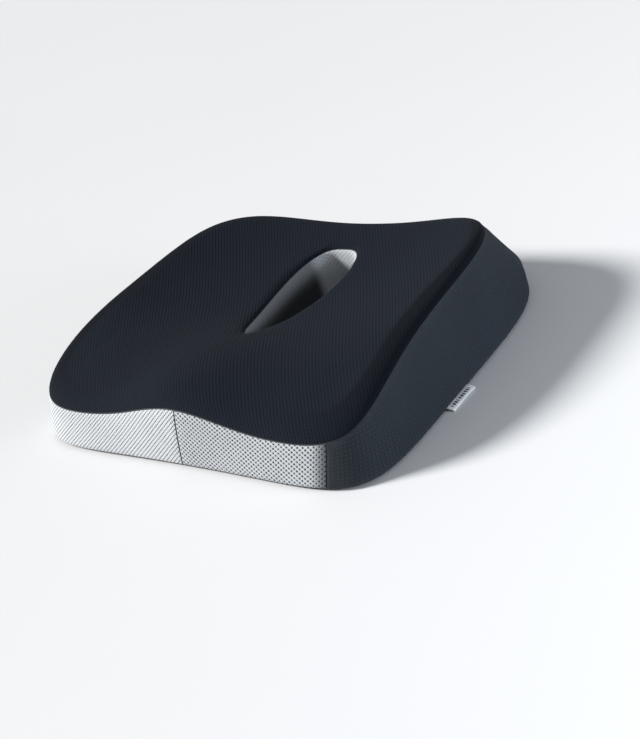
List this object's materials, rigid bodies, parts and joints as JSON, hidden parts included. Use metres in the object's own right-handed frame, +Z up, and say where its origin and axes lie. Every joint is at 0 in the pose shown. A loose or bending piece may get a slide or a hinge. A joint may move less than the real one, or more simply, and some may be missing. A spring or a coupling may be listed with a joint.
{
  "type": "seat cushion",
  "caption": "Contoured wedge seat cushion with a teardrop tailbone hole: moulded foam core in a knit liner, inside a sewn removable cover with a zip along the back.",
  "frame": {"origin": "centre of the base's bounding box, on the surface that the cushion lies on", "axes": "+X to the sitter's right, +Y to the back of the seat, +Z up"},
  "size_m": [0.4602, 0.3881, 0.0924],
  "materials": {
    "foam": "matte",
    "liner_knit": "matte",
    "navy_knit": "matte",
    "grey_mesh": "matte",
    "charcoal_knit": "matte",
    "base_cloth": "matte",
    "label_tape": "satin",
    "zip_tape": "matte",
    "zip_coil": "satin",
    "zip_metal": "satin"
  },
  "bodies": {
    "cushion": {"foam_core": "foam", "inner_liner": "liner_knit", "top_panel": "navy_knit", "front_band_left": "grey_mesh", "front_band_right": "grey_mesh", "side_band_left": "charcoal_knit", "side_band_right": "charcoal_knit", "back_band_upper": "charcoal_knit", "back_band_lower": "charcoal_knit", "hole_lining": "grey_mesh", "bottom_panel": "base_cloth", "side_label": "label_tape", "zip_tape_upper": "zip_tape", "zip_tape_lower": "zip_tape", "zip_coil_upper": "zip_coil", "zip_coil_lower": "zip_coil", "zip_stop_left": "zip_metal", "zip_stop_right": "zip_metal"},
    "zip_slider": {"zip_slider_body": "zip_metal"},
    "zip_pull": {"zip_pull_tab": "zip_metal"}
  },
  "joints": [
    {"name": "zip_slide", "type": "slide", "parent": "cushion", "child": "zip_slider", "axis": [1, 0, 0], "range_m": [0, 0.238]},
    {"name": "zip_pull_hinge", "type": "hinge", "parent": "zip_slider", "child": "zip_pull", "pos_m": [-0.1191, 0.1942, 0.018], "axis": [0, 0, 1], "range_deg": [0, 175]}
  ]
}
